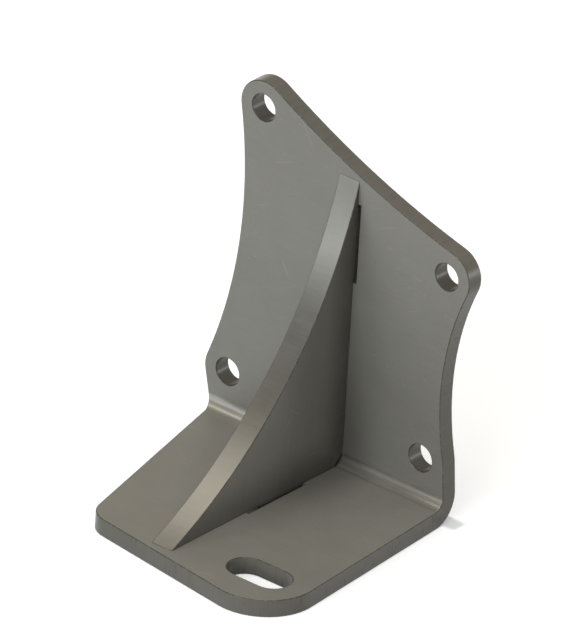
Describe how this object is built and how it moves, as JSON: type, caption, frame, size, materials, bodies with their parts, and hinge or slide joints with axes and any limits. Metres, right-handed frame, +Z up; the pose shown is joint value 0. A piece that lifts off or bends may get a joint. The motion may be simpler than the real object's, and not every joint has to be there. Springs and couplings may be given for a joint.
{
  "type": "transmission mounting bracket",
  "caption": "Heavy folded steel bracket: a lugged wall with bolt holes, a base with an obround bolt slot and a hollow-edged gusset tabbed across the fold.",
  "frame": {"origin": "centre of the base's obround bolt slot, in the plane of the base's underside", "axes": "+Z up along the wall, +Y from the base's front towards the wall and out of the wall's mounting face, +X along the fold to the right, towards the bolt slot's side"},
  "size_m": [0.1131, 0.1054, 0.1364],
  "materials": {
    "plate_steel": "plain rolled plate, satin, warm dark grey, unpainted",
    "gusset_steel": "plain rolled plate, satin, warm dark grey, unpainted, with a lighter cut edge"
  },
  "bodies": {
    "root": {"bent_plate": "plate_steel", "gusset": "gusset_steel"}
  },
  "joints": []
}
